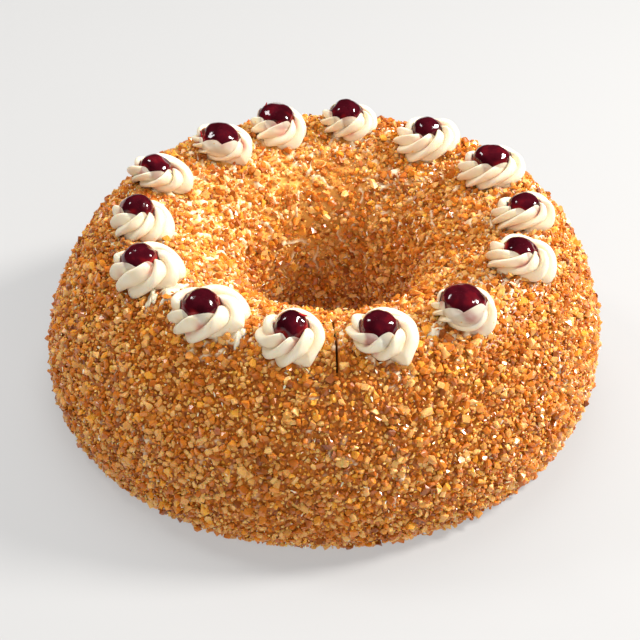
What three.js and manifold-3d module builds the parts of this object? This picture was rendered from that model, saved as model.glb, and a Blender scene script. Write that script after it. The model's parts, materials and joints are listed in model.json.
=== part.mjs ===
// Frankfurt crown cake: a ring cake coated in chopped nut brittle, crowned by a wreath of piped
// buttercream rosettes, each with one pitted cherry pressed into it.
// Millimetres, +Z up. The origin is the middle of the footprint, on the surface the cake stands on.
import * as THREE from "three";
import { mergeVertices } from "three/addons/utils/BufferGeometryUtils.js";
import Module from "manifold-3d";

const wasm = await Module();
wasm.setup();

// Ring cake, measured over its coating
const WIDEST_RADIUS = 130;
const WIDEST_HEIGHT = 25;
const FOOT_RADIUS = 119;
const CREST_RADIUS = 92;
const CREST_HEIGHT = 90;
const MOUTH_RADIUS = 41;
const MOUTH_HEIGHT = 55;
const HOLE_FOOT_RADIUS = 37;
const OUTER_ROUNDNESS = 1.62; // 2 is an ellipse, less is a flatter slope with a tighter crest
const INNER_ROUNDNESS = 1.8;
const LEAN = 6; // how far the crest stands towards +X of the foot
const SWELL = 0.006; // share by which the radius waves round the ring
const SWELL_WAVES = 3;
const SETTLE = 0.008; // share by which the height waves round the ring
const SETTLE_WAVES = 2;
const CRAG = 0.5; // how far the coating's surface is knocked in or out at random
const RING_SEGMENTS = 56;

// Coating: the largest pieces of brittle, half sunk in the ring
const GRAIN_SPACING = 21;
const GRAIN_SCATTER = 0.8; // share of the spacing by which a piece may lie off its even place
const GRAIN_LENGTH = [5.5, 8];
const GRAIN_BREADTH = [4, 5.5];
const GRAIN_THICKNESS = [3.2, 4.4];
const GRAIN_CHIPPING = 0.3; // share by which a corner is knocked off its place
const GRAIN_FLOOR_CLEARANCE = 5;
const GRAIN_ROSETTE_CLEARANCE = 5;
const SEED = 1870;

// Piped rosettes
const ROSETTE_LOBES = 7;
const ROSETTE_HEIGHT = 9.5;
const ROSETTE_DEPTH = 0.88; // front to back over width
const ROSETTE_TWIST = 38; // degrees that each ring of the swirl turns past the one outside it
const LOBE_DEPTH = 0.11; // share of the radius between a lobe's top and the groove beside it
const SEAT_GAP = 0.4; // between the cream and the coating straight under it
const FIRST_ROSETTE_ANGLE = 5;
// The swirl from a root under the coating to the crown: share of the radius, share of the height,
// share of the lobes' depth
const SWIRL = [
  { reach: 0.86, rise: -0.3, lobes: 0.8 },
  { reach: 1, rise: 0.36, lobes: 1 },
  { reach: 0.86, rise: 0.84, lobes: 0.9 },
  { reach: 0.64, rise: 1, lobes: 0.4 },
];

// Cherries
const CHERRY_CLEARANCE = 1.9; // cream left between a cherry and the coating under it
const CHERRY_GAP = 0.3; // between a cherry and its print in the cream
const CHERRY_MERIDIANS = 10;
const CHERRY_PARALLELS = 7;
const STONE_HOLE_DEPTH = 0.22; // share of the radius by which the stoned end is dented

// The wreath by hand, anticlockwise from +X: degrees that a rosette slipped from its even place,
// its distance from the ring's axis, its width, its cherry's width and height, and how far the
// cherry slid from the rosette's middle, towards +X and +Y
const WREATH = [
  { slip: -5, reach: 86, width: 30, cherry: 16.5, tall: 13.5, slideX: 0.5, slideY: -1.5 },
  { slip: -3, reach: 84, width: 33, cherry: 19, tall: 15, slideX: 0.5, slideY: 0.5 },
  { slip: -0.5, reach: 81, width: 32, cherry: 15, tall: 13.5, slideX: 0.5, slideY: 2.5 },
  { slip: 2.6, reach: 85, width: 28, cherry: 17, tall: 15, slideX: -1.8, slideY: 0.2 },
  { slip: 1.5, reach: 81, width: 27.5, cherry: 18.5, tall: 15, slideX: -2.5, slideY: 4 },
  { slip: -3, reach: 83, width: 31, cherry: 20, tall: 15, slideX: -2, slideY: -5 },
  { slip: -1, reach: 85, width: 32, cherry: 16, tall: 14, slideX: -5, slideY: -4.5 },
  { slip: 3, reach: 87, width: 29, cherry: 16.5, tall: 14.5, slideX: -3.3, slideY: 2.3 },
  { slip: 0, reach: 92, width: 31.5, cherry: 17, tall: 14.5, slideX: -4.3, slideY: 0 },
  { slip: -0.5, reach: 92, width: 34.5, cherry: 17.5, tall: 14.5, slideX: -3.5, slideY: -3 },
  { slip: -2.5, reach: 93.5, width: 30, cherry: 15, tall: 14.5, slideX: -0.5, slideY: 0.3 },
  { slip: -4.5, reach: 92, width: 31, cherry: 17, tall: 14.5, slideX: -3.3, slideY: -3 },
  { slip: -6.5, reach: 91.5, width: 28.5, cherry: 20.5, tall: 15, slideX: -1.8, slideY: -3.2 },
  { slip: -2.5, reach: 90, width: 32, cherry: 16, tall: 13, slideX: -2, slideY: -2.6 },
];

const FINENESS = 0.05; // detail smaller than this is dropped from every solid

const BRITTLE = { color: 0xb8742f, roughness: 0.45, metalness: 0 };
const CREAM = { color: 0xf6ead0, roughness: 0.5, metalness: 0 };
const CHERRY = { color: 0x4a0d18, roughness: 0.15, metalness: 0 };

// A repeatable draw between 0 and 1
function seededDraw(seed) {
  let state = seed;
  return () => {
    state = (state + 0x6d2b79f5) | 0;
    let mixed = Math.imul(state ^ (state >>> 15), 1 | state);
    mixed = (mixed + Math.imul(mixed ^ (mixed >>> 7), 61 | mixed)) ^ mixed;
    return ((mixed ^ (mixed >>> 14)) >>> 0) / 2 ** 32;
  };
}
const draw = seededDraw(SEED);
const drawBetween = ([low, high]) => low + (high - low) * draw();

function solidOf(geometry) {
  const bare = geometry.clone();
  bare.deleteAttribute("normal");
  bare.deleteAttribute("uv");
  const merged = mergeVertices(bare);
  return new wasm.Manifold(
    new wasm.Mesh({
      numProp: 3,
      vertProperties: merged.attributes.position.array,
      triVerts: new Uint32Array(merged.index.array),
    }),
  );
}

function geometryOf(solid) {
  const mesh = solid.simplify(FINENESS).getMesh();
  const geometry = new THREE.BufferGeometry();
  geometry.setAttribute("position", new THREE.BufferAttribute(mesh.vertProperties, 3));
  geometry.setIndex(new THREE.BufferAttribute(mesh.triVerts, 1));
  geometry.computeVertexNormals();
  return geometry;
}

function movePoints(geometry, move) {
  const places = geometry.attributes.position;
  const point = new THREE.Vector3();
  for (let i = 0; i < places.count; i++) {
    point.fromBufferAttribute(places, i);
    point.copy(move(point));
    places.setXYZ(i, point.x, point.y, point.z);
  }
  return geometry;
}

// The ring's true place of a point on the round, upright profile: it waves a little and leans
const swellAt = (angle) => 1 + SWELL * Math.sin(SWELL_WAVES * angle);
const settleAt = (angle) => 1 + SETTLE * Math.cos(SETTLE_WAVES * angle);

function onRing(radius, height, angle) {
  const swollen = radius * swellAt(angle);
  return new THREE.Vector3(
    swollen * Math.cos(angle) + (LEAN * height) / CREST_HEIGHT,
    swollen * Math.sin(angle),
    height * settleAt(angle),
  );
}

// Rounded shoulder: 1 at share 0, falling to 0 at share 1
const shoulder = (share, roundness) => (1 - share ** roundness) ** (1 / roundness);

// Height of the profile's upper side at a radius
function topHeight(radius) {
  if (radius >= CREST_RADIUS) {
    const share = Math.min(1, (radius - CREST_RADIUS) / (WIDEST_RADIUS - CREST_RADIUS));
    return WIDEST_HEIGHT + (CREST_HEIGHT - WIDEST_HEIGHT) * shoulder(share, OUTER_ROUNDNESS);
  }
  const share = Math.min(1, (CREST_RADIUS - radius) / (CREST_RADIUS - MOUTH_RADIUS));
  return MOUTH_HEIGHT + (CREST_HEIGHT - MOUTH_HEIGHT) * shoulder(share, INNER_ROUNDNESS);
}

// Height of the true ring's upper side over a place on the floor
function surfaceHeight(x, y) {
  let height = CREST_HEIGHT;
  for (let pass = 0; pass < 6; pass++) {
    const upright = x - (LEAN * height) / CREST_HEIGHT;
    const angle = Math.atan2(y, upright);
    height = topHeight(Math.hypot(upright, y) / swellAt(angle));
  }
  const upright = x - (LEAN * height) / CREST_HEIGHT;
  return height * settleAt(Math.atan2(y, upright));
}

// A quarter of a superellipse from (fromRadius, fromHeight), where it runs level, to
// (toRadius, toHeight), where it runs upright; the first point is left to the stretch before it
function quarter(from, to, roundness, steps) {
  const points = [];
  for (let i = 1; i <= steps; i++) {
    const turn = ((Math.PI / 2) * i) / steps;
    const level = Math.sin(turn) ** (2 / roundness);
    const upright = 1 - Math.cos(turn) ** (2 / roundness);
    points.push(
      new THREE.Vector2(from.x + (to.x - from.x) * level, from.y + (to.y - from.y) * upright),
    );
  }
  return points;
}

// The ring's section, from the hole's foot out, up the side, over the crest and down the hole
const holeFoot = new THREE.Vector2(HOLE_FOOT_RADIUS, 0);
const foot = new THREE.Vector2(FOOT_RADIUS, 0);
const widest = new THREE.Vector2(WIDEST_RADIUS, WIDEST_HEIGHT);
const crest = new THREE.Vector2(CREST_RADIUS, CREST_HEIGHT);
const mouth = new THREE.Vector2(MOUTH_RADIUS, MOUTH_HEIGHT);
const ELLIPSE = 2;
const lowerSide = quarter(foot, widest, ELLIPSE, 3);
const upperSide = quarter(crest, widest, OUTER_ROUNDNESS, 8).reverse().slice(1);
const innerSlope = quarter(crest, mouth, INNER_ROUNDNESS, 7);
const holeWall = [0.33, 0.67].map((share) => mouth.clone().lerp(holeFoot, share));
const coatedStretch = [...lowerSide, ...upperSide, crest, ...innerSlope, ...holeWall];
const section = [holeFoot, foot, ...coatedStretch, holeFoot];

function ringSolid() {
  const lathe = new THREE.LatheGeometry(section, RING_SEGMENTS).rotateX(Math.PI / 2);
  lathe.deleteAttribute("normal").deleteAttribute("uv");
  const knock = () => CRAG * (2 * draw() - 1);
  const coated = movePoints(mergeVertices(lathe), (p) => {
    const angle = Math.atan2(p.y, p.x);
    if (p.z < FINENESS) return onRing(Math.hypot(p.x, p.y), 0, angle);
    return onRing(Math.hypot(p.x, p.y) + knock(), p.z + knock(), angle);
  });
  return solidOf(coated);
}

// Where each rosette stands: a point on the coating, the way up from it and its own sizes
const spots = WREATH.map((piped, i) => {
  const angle = THREE.MathUtils.degToRad(
    FIRST_ROSETTE_ANGLE + (360 / WREATH.length) * i + piped.slip,
  );
  const base = onRing(piped.reach, topHeight(piped.reach), angle);
  base.z = surfaceHeight(base.x, base.y);
  const span = piped.width / 4;
  const fallX = surfaceHeight(base.x + span, base.y) - surfaceHeight(base.x - span, base.y);
  const fallY = surfaceHeight(base.x, base.y + span) - surfaceHeight(base.x, base.y - span);
  const up = new THREE.Vector3(-fallX, -fallY, 2 * span).normalize();
  const right = new THREE.Vector3(1, 0, 0).addScaledVector(up, -up.x).normalize();
  const back = up.clone().cross(right);
  return { ...piped, angle, base, up, right, back };
});

// One large piece of brittle: an eight-sided shard with its corners knocked about
function grainSolid(place) {
  const octahedron = new THREE.OctahedronGeometry(1);
  octahedron.deleteAttribute("normal").deleteAttribute("uv");
  const shard = mergeVertices(octahedron);
  const size = new THREE.Vector3(
    drawBetween(GRAIN_LENGTH) / 2,
    drawBetween(GRAIN_BREADTH) / 2,
    drawBetween(GRAIN_THICKNESS) / 2,
  );
  const knock = () => (draw() - 0.5) * 2 * GRAIN_CHIPPING;
  movePoints(shard, (p) => {
    const corner = new THREE.Vector3(p.x + knock(), p.y + knock(), p.z + knock());
    return corner.multiply(size);
  });
  const fullTurn = 2 * Math.PI;
  shard.rotateX(draw() * fullTurn).rotateY(draw() * fullTurn).rotateZ(draw() * fullTurn);
  shard.translate(place.x, place.y, place.z);
  return solidOf(shard);
}

// Places spread evenly over the coated stretch of the section, row by row
function grainPlaces() {
  const path = new THREE.CurvePath();
  for (let i = 1; i < coatedStretch.length; i++) {
    path.add(new THREE.LineCurve(coatedStretch[i - 1], coatedStretch[i]));
  }
  const places = [];
  const rows = Math.round(path.getLength() / GRAIN_SPACING);
  const stray = () => GRAIN_SCATTER * (draw() - 0.5);
  for (let row = 0; row < rows; row++) {
    const rowRadius = path.getPointAt((row + 0.5) / rows).x;
    const count = Math.round((2 * Math.PI * rowRadius) / GRAIN_SPACING);
    const start = draw();
    for (let i = 0; i < count; i++) {
      const at = path.getPointAt((row + 0.5 + stray()) / rows);
      const angle = ((i + start + stray()) / count) * 2 * Math.PI;
      places.push(onRing(at.x, at.y, angle));
    }
  }
  const clear = (place) =>
    place.z > GRAIN_FLOOR_CLEARANCE &&
    spots.every(
      (spot) => spot.base.distanceTo(place) > spot.width / 2 + GRAIN_ROSETTE_CLEARANCE,
    );
  return places.filter(clear);
}

// A rosette's swirl before it is trimmed to the coating and its cherry is pressed in: rings of
// lobes, each turned past the one outside it. Low rings follow the coating, high ones are level.
function swirlSolid(spot) {
  const { base, up, right, back, slideX, slideY } = spot;
  const corners = [];
  const put = (x, y, rise) => {
    const corner = base.clone().addScaledVector(right, x).addScaledVector(back, y);
    const sag = surfaceHeight(corner.x, corner.y) - corner.z;
    corner.z += sag * Math.min(1, 1 - rise);
    corners.push(corner.addScaledVector(up, ROSETTE_HEIGHT * rise));
  };
  const around = 2 * ROSETTE_LOBES;
  SWIRL.forEach(({ reach, rise, lobes }, ring) => {
    const turned = THREE.MathUtils.degToRad(ROSETTE_TWIST * ring) + spot.angle;
    for (let i = 0; i < around; i++) {
      const angle = turned + (2 * Math.PI * i) / around;
      const lobe = i % 2 ? 1 - LOBE_DEPTH * lobes : 1 + LOBE_DEPTH * lobes * 0.4;
      const radius = (spot.width / 2) * reach * lobe;
      const x = radius * Math.cos(angle) + slideX * rise;
      const y = radius * Math.sin(angle) * ROSETTE_DEPTH + slideY * rise;
      put(x, y, rise);
    }
  });
  const root = corners.length;
  put(0, 0, SWIRL[0].rise);
  const tip = corners.length;
  put(slideX, slideY, 1);

  const faces = [];
  const last = (SWIRL.length - 1) * around;
  for (let i = 0; i < around; i++) {
    const next = (i + 1) % around;
    for (let lower = 0; lower < last; lower += around) {
      const upper = lower + around;
      faces.push(lower + i, lower + next, upper + i);
      faces.push(upper + i, lower + next, upper + next);
    }
    faces.push(next, i, root);
    faces.push(last + i, last + next, tip);
  }
  const geometry = new THREE.BufferGeometry().setFromPoints(corners);
  geometry.setIndex(faces);
  return solidOf(geometry);
}

// A stoned cherry: a flattened ball, dented where the stone came out, turned a little each time
function cherrySolid(spot, growth) {
  const ball = new THREE.SphereGeometry(1, CHERRY_MERIDIANS, CHERRY_PARALLELS);
  movePoints(ball, (p) => {
    const dent = STONE_HOLE_DEPTH * Math.max(0, p.y) ** 6;
    return new THREE.Vector3(p.x, p.y * (1 - dent), p.z);
  });
  ball.rotateX(spot.angle).rotateZ(spot.angle * 2);
  const halfWidth = spot.cherry / 2 + growth;
  ball.scale(halfWidth, halfWidth, spot.tall / 2 + growth);
  const frame = new THREE.Matrix4().makeBasis(spot.right, spot.back, spot.up);
  const seat = spot.base
    .clone()
    .addScaledVector(spot.right, spot.slideX)
    .addScaledVector(spot.back, spot.slideY)
    .addScaledVector(spot.up, CHERRY_CLEARANCE + spot.tall / 2);
  ball.applyMatrix4(frame.setPosition(seat));
  return solidOf(ball);
}

const cake = new THREE.Group();
const addPiece = (name, solid, finish) => {
  const mesh = new THREE.Mesh(geometryOf(solid), new THREE.MeshStandardMaterial(finish));
  mesh.name = name;
  cake.add(mesh);
};

const ring = ringSolid();
const grains = grainPlaces().map(grainSolid);
addPiece("cake_ring", wasm.Manifold.union([ring, ...grains]), BRITTLE);
const seat = ring.translate(0, 0, SEAT_GAP);
spots.forEach((spot, i) => {
  const number = String(i + 1).padStart(2, "0");
  const print = cherrySolid(spot, CHERRY_GAP);
  addPiece(`rosette_${number}`, swirlSolid(spot).subtract(seat).subtract(print), CREAM);
  addPiece(`cherry_${number}`, cherrySolid(spot, 0), CHERRY);
});

// The footprint's middle is the origin
const box = new THREE.Box3().setFromObject(cake);
const middle = box.getCenter(new THREE.Vector3());
cake.children.forEach((piece) => piece.position.set(-middle.x, -middle.y, 0));

export default cake;
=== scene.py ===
import json
import math
import random

import bmesh
import bpy
import numpy as np
from mathutils import Matrix, Vector, noise

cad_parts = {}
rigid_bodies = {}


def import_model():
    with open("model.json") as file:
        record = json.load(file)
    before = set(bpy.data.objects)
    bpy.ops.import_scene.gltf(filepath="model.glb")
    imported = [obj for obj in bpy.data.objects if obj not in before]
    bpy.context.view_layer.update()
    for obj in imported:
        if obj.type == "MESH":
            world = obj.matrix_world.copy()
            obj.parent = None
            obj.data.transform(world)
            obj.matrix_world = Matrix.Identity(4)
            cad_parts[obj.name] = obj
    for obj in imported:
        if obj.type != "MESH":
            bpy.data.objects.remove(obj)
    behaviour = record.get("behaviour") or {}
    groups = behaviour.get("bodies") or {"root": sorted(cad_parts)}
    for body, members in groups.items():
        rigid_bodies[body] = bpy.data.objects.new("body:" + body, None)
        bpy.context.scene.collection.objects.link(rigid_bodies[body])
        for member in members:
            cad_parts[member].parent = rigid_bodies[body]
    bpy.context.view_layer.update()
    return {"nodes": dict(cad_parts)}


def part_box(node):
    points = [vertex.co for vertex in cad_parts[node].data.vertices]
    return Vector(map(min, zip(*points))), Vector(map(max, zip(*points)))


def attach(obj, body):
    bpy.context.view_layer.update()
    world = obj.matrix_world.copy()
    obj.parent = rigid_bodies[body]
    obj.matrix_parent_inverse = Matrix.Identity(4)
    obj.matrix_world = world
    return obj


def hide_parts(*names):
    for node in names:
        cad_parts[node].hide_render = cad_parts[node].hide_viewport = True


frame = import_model()
mm = 0.001
print("frame loaded:", len(frame["nodes"]), "nodes")

# Ring cake, as the solid has it: sizes over the coating
ringShape = {
    "widestRadius": 130 * mm,
    "widestHeight": 25 * mm,
    "footRadius": 119 * mm,
    "crestRadius": 92 * mm,
    "crestHeight": 90 * mm,
    "mouthRadius": 41 * mm,
    "mouthHeight": 55 * mm,
    "holeFootRadius": 37 * mm,
    "outerRoundness": 1.62,
    "innerRoundness": 1.8,
    "lean": 6 * mm,
    "swell": 0.006,
    "swellWaves": 3,
    "settle": 0.008,
    "settleWaves": 2,
}


def corners(nodeName):
    vertices = frame["nodes"][nodeName].data.vertices
    places = np.empty(len(vertices) * 3)
    vertices.foreach_get("co", places)
    return places.reshape(-1, 3)


ringCorners = corners("cake_ring")
footCorners = np.unique(ringCorners[ringCorners[:, 2] < 0.01 * mm].round(6), axis=0)
footCentre = Vector(footCorners.mean(axis=0).tolist())


def swellAt(angle):
    return 1 + ringShape["swell"] * np.sin(ringShape["swellWaves"] * angle)


def settleAt(angle):
    return 1 + ringShape["settle"] * np.cos(ringShape["settleWaves"] * angle)


def onRing(radius, height, angle):  # profile place to true place, waves and lean included
    swollen = radius * swellAt(angle)
    x = footCentre.x + swollen * np.cos(angle) + ringShape["lean"] * height / ringShape["crestHeight"]
    y = footCentre.y + swollen * np.sin(angle)
    return np.stack(np.broadcast_arrays(x, y, height * settleAt(angle)), axis=-1)


def shoulder(share, roundness):
    share = np.clip(share, 0, 1)
    return (1 - share ** roundness) ** (1 / roundness)


def topHeight(radius):
    s = ringShape
    outer = s["widestHeight"] + (s["crestHeight"] - s["widestHeight"]) * shoulder(
        (radius - s["crestRadius"]) / (s["widestRadius"] - s["crestRadius"]), s["outerRoundness"])
    inner = s["mouthHeight"] + (s["crestHeight"] - s["mouthHeight"]) * shoulder(
        (s["crestRadius"] - radius) / (s["crestRadius"] - s["mouthRadius"]), s["innerRoundness"])
    return np.where(radius >= s["crestRadius"], outer, inner)


def surfaceHeight(x, y):
    height = ringShape["crestHeight"]
    for _ in range(6):
        upright = x - footCentre.x - ringShape["lean"] * height / ringShape["crestHeight"]
        angle = np.arctan2(y - footCentre.y, upright)
        height = topHeight(np.hypot(upright, y - footCentre.y) / swellAt(angle))
    return height * settleAt(angle)


def standingPlace(x, y, span):  # a frame on the coating, with its Z straight out of it
    fallX = float(surfaceHeight(x + span, y) - surfaceHeight(x - span, y))
    fallY = float(surfaceHeight(x, y + span) - surfaceHeight(x, y - span))
    up = Vector((-fallX, -fallY, 2 * span)).normalized()
    right = (Vector((1, 0, 0)) - up * up.x).normalized()
    place = Matrix((right, up.cross(right), up)).transposed().to_4x4()
    place.translation = Vector((x, y, float(surfaceHeight(x, y))))
    return place


def fieldNoise(places, size, seed):
    offset = Vector((seed * 7.3, seed * 3.1, seed * 5.7))
    return np.array([noise.noise(Vector(p) / size + offset) for p in places])


def smooth(low, high, values):
    share = np.clip((values - low) / (high - low), 0, 1)
    return share * share * (3 - 2 * share)


def evenTurn(count):  # angles once round
    return np.linspace(0, 2 * math.pi, count, endpoint=False)


def wayTo(bearing, rise):
    return Vector((math.cos(bearing) * math.cos(rise), math.sin(bearing) * math.cos(rise), math.sin(rise)))


def meshPiece(name, mesh, material):
    piece = bpy.data.objects.new(name, mesh)
    bpy.context.scene.collection.objects.link(piece)
    mesh.materials.clear()
    mesh.materials.append(material)
    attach(piece, "root")
    return piece


def storeValues(mesh, name, values):
    stored = mesh.attributes.new(name, "FLOAT", "POINT")
    stored.data.foreach_set("value", np.asarray(values, dtype=np.float32).ravel())


def gridFaces(rows, columns):  # quads of rows of points that each close on themselves
    ring = np.arange(columns)
    after = (ring + 1) % columns
    faces = []
    for row in range(rows - 1):
        a, b = row * columns, (row + 1) * columns
        faces.append(np.stack([a + ring, a + after, b + after, b + ring], axis=1))
    return np.concatenate(faces)


# Shader helpers
def addNode(tree, kind, x, y, **settings):
    node = tree.nodes.new(kind)
    node.location = (x, y)
    for key, value in settings.items():
        setattr(node, key, value)
    return node


def newMaterial(name, **sockets):
    material = bpy.data.materials.new(name)
    material.use_nodes = True
    tree = material.node_tree
    shader = tree.nodes["Principled BSDF"]
    for key, value in sockets.items():
        shader.inputs[key.replace("_", " ")].default_value = value
    return material, tree, shader


def rampNode(tree, x, y, stops):
    ramp = addNode(tree, "ShaderNodeValToRGB", x, y)
    bar = ramp.color_ramp
    while len(bar.elements) < len(stops):
        bar.elements.new(0.5)
    for element, (place, colour) in zip(bar.elements, stops):
        element.position = place
        element.color = (*colour, 1)
    return ramp


def mixNode(tree, x, y, factor, first, second):  # an end is a socket or a plain colour
    mix = addNode(tree, "ShaderNodeMix", x, y, data_type="RGBA")
    tree.links.new(factor, mix.inputs["Factor"])
    for end, given in (("A", first), ("B", second)):
        if isinstance(given, tuple):
            mix.inputs[end].default_value = (*given, 1)
        else:
            tree.links.new(given, mix.inputs[end])
    return mix.outputs["Result"]


def noiseNode(tree, x, y, scale, detail):
    place = addNode(tree, "ShaderNodeTexCoord", x - 200, y)
    mottle = addNode(tree, "ShaderNodeTexNoise", x, y)
    mottle.inputs["Scale"].default_value = scale
    mottle.inputs["Detail"].default_value = detail
    tree.links.new(place.outputs["Object"], mottle.inputs["Vector"])
    return mottle.outputs["Fac"]


def bumpNode(tree, shader, height, strength, distance):
    bump = addNode(tree, "ShaderNodeBump", -250, -250)
    bump.inputs["Strength"].default_value = strength
    bump.inputs["Distance"].default_value = distance
    tree.links.new(height, bump.inputs["Height"])
    tree.links.new(bump.outputs["Normal"], shader.inputs["Normal"])


# Grain tint: each grain has its own tone, and burnt specks lie on it
def makeGrainTint():
    tree = bpy.data.node_groups.new("grainTint", "ShaderNodeTree")
    for name in ("Pale", "Deep", "Speck"):
        tree.interface.new_socket(name, in_out="INPUT", socket_type="NodeSocketColor")
    tree.interface.new_socket("Color", in_out="OUTPUT", socket_type="NodeSocketColor")
    tree.interface.new_socket("Roughness", in_out="OUTPUT", socket_type="NodeSocketFloat")
    tree.interface.new_socket("Height", in_out="OUTPUT", socket_type="NodeSocketFloat")
    into = addNode(tree, "NodeGroupInput", -900, 0)
    out = addNode(tree, "NodeGroupOutput", 600, 0)
    tone = addNode(tree, "ShaderNodeAttribute", -900, 250, attribute_name="tint")
    mottle = noiseNode(tree, -650, -150, 700, 3)
    blend = mixNode(tree, -350, 150, tone.outputs["Fac"], into.outputs["Pale"], into.outputs["Deep"])
    speck = addNode(tree, "ShaderNodeMapRange", -350, -150)
    speck.inputs["From Min"].default_value = 0.58
    speck.inputs["From Max"].default_value = 0.76
    tree.links.new(mottle, speck.inputs["Value"])
    dotted = mixNode(tree, 0, 100, speck.outputs["Result"], blend, into.outputs["Speck"])
    rough = addNode(tree, "ShaderNodeMapRange", 0, -150)
    rough.inputs["To Min"].default_value = 0.22
    rough.inputs["To Max"].default_value = 0.55
    tree.links.new(mottle, rough.inputs["Value"])
    tree.links.new(dotted, out.inputs["Color"])
    tree.links.new(rough.outputs["Result"], out.inputs["Roughness"])
    tree.links.new(mottle, out.inputs["Height"])
    return tree


grainTint = makeGrainTint()


def grainMaterial(name, pale, deep, speck, coat):
    material, tree, shader = newMaterial(name, Coat_Weight=coat, Coat_Roughness=0.15, Subsurface_Weight=0.4,
                                         Subsurface_Radius=(1.0, 0.35, 0.08), Subsurface_Scale=1.6 * mm)
    tint = addNode(tree, "ShaderNodeGroup", -500, 200, node_tree=grainTint)
    for socket, colour in (("Pale", pale), ("Deep", deep), ("Speck", speck)):
        tint.inputs[socket].default_value = (*colour, 1)
    tree.links.new(tint.outputs["Color"], shader.inputs["Base Color"])
    tree.links.new(tint.outputs["Roughness"], shader.inputs["Roughness"])
    bumpNode(tree, shader, tint.outputs["Height"], 0.4, 0.3 * mm)
    return material


# Wreath: where the rosettes and cherries stand, from their solids
wreath = {
    "count": 14,
    "footBand": 1.2 * mm,  # cream this close to the coating is a rosette's foot
    "standSpan": 8 * mm,  # the coating's slope is taken over this reach
    "cherrySunk": 1.2 * mm,  # the cream rises against the cherries, so they sit deeper in it
}


def findSpots():
    found = []
    for number in range(1, wreath["count"] + 1):
        piped = corners(f"rosette_{number:02d}")
        above = piped[:, 2] - surfaceHeight(piped[:, 0], piped[:, 1])
        foot = piped[above < wreath["footBand"]]
        x, y = (foot[:, :2].min(axis=0) + foot[:, :2].max(axis=0)) / 2
        low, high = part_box(f"rosette_{number:02d}")
        cherryLow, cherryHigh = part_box(f"cherry_{number:02d}")
        size = cherryHigh - cherryLow
        found.append({
            "number": number,
            "place": standingPlace(x, y, wreath["standSpan"]),
            "width": high.x - low.x,
            "cherry": (cherryLow + cherryHigh) / 2 - Vector((0, 0, wreath["cherrySunk"])),
            "cherryHalf": np.array([(size.x + size.y) / 4, (size.x + size.y) / 4, size.z / 2]),
        })
    return found


spots = findSpots()
print("wreath:", len(spots), "places")

# Smears of cream left on the coating between rosettes: bearing in degrees, distance from the axis,
# half length, half width, the turn of the length from the radius
smears = {
    "height": 1.1 * mm,
    "sunk": 1.2 * mm,
    "lumpSize": 2.6 * mm,
    "places": [
        (220, 91, 7.5, 3.2, 10),
        (217.5, 99, 4, 2.2, 40),
        (245.5, 96, 4.4, 3.0, 5),
        (296, 94.3, 4.2, 1.8, 85),
    ],
    "around": 48,
    "rings": 12,
}


def smearShare(places):  # 1 under a smear, 0 away from it
    share = np.zeros(len(places))
    for bearing, reach, length, width, turn in smears["places"]:
        away = places - onRing(reach * mm, topHeight(reach * mm), math.radians(bearing))
        lay = math.radians(bearing + turn)
        along = (away[:, 0] * math.cos(lay) + away[:, 1] * math.sin(lay)) / (length * mm)
        across = (away[:, 1] * math.cos(lay) - away[:, 0] * math.sin(lay)) / (width * mm)
        share = np.maximum(share, smooth(1.15, 0.85, np.hypot(along, across)))
    return share


# Core of the ring: the cream and caramel that the grains are stuck in
core = {
    "inset": 1.5 * mm,
    "around": 460,
    "aroundSlit": 41,
    "along": 190,
    "profileSteps": 200,
    "floorGap": 0.3 * mm,
    "bareFoot": 2.2 * mm,  # no grains below this height
    "lumps": 0.6 * mm,
    "lumpSize": 3.2 * mm,
    "patchSize": 22 * mm,
    "creamHeight": 0.9 * mm,
    "strings": 1.1 * mm,  # cream strings stand this high between the grains of the inner slope
    "stringSize": 10 * mm,
    "stringBreaks": 7 * mm,
    "slitFrom": 72 * mm,
    "slitTo": 104 * mm,
    "slitAngle": math.radians(-90.1),
    "slitSlant": math.radians(0.0356) / mm,  # the cut isn't quite radial
    "slitHalfWidth": 0.5 * mm,
    "slitDepth": 5 * mm,
    "slitAbove": 60 * mm,
    "slitClose": math.radians(1.7),  # columns lie close together this far to each side of the cut
    "slitMiddle": math.radians(0.6),
    "caramelDeep": (0.24, 0.055, 0.005),
    "caramel": (0.54, 0.165, 0.014),
    # painted light: gold painted on the inner slope, strongest where the key light falls
    "goldenAndLit": (0.88, 0.47, 0.10),
    "cream": (0.94, 0.80, 0.55),
    # painted shade: the inside of the knife's cut is coloured near black
    "cutShade": (0.02, 0.008, 0.004),
}


def coatSection(count):  # evenly spaced profile points, foot to hole foot
    s = ringShape
    turn = np.linspace(0, math.pi / 2, core["profileSteps"])
    lower = np.stack([s["footRadius"] + (s["widestRadius"] - s["footRadius"]) * np.sin(turn),
                      s["widestHeight"] * (1 - np.cos(turn))], axis=1)
    level = np.cos(turn) ** (2 / s["outerRoundness"])
    rise = np.sin(turn) ** (2 / s["outerRoundness"])
    upper = np.stack([s["crestRadius"] + (s["widestRadius"] - s["crestRadius"]) * level,
                      s["widestHeight"] + (s["crestHeight"] - s["widestHeight"]) * rise], axis=1)
    level = np.sin(turn) ** (2 / s["innerRoundness"])
    fall = np.cos(turn) ** (2 / s["innerRoundness"])
    inner = np.stack([s["crestRadius"] + (s["mouthRadius"] - s["crestRadius"]) * level,
                      s["mouthHeight"] + (s["crestHeight"] - s["mouthHeight"]) * fall], axis=1)
    wall = np.array([[s["mouthRadius"], s["mouthHeight"]], [s["holeFootRadius"], 0]])
    path = np.concatenate([lower, upper[1:], inner[1:], wall[1:]])
    length = np.concatenate([[0], np.cumsum(np.hypot(*np.diff(path, axis=0).T))])
    even = np.linspace(0, length[-1], count)
    points = np.stack([np.interp(even, length, path[:, 0]), np.interp(even, length, path[:, 1])], axis=1)
    slope = np.gradient(points, axis=0)
    slope /= np.linalg.norm(slope, axis=1)[:, None]
    return points, np.stack([slope[:, 1], -slope[:, 0]], axis=1)


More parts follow.
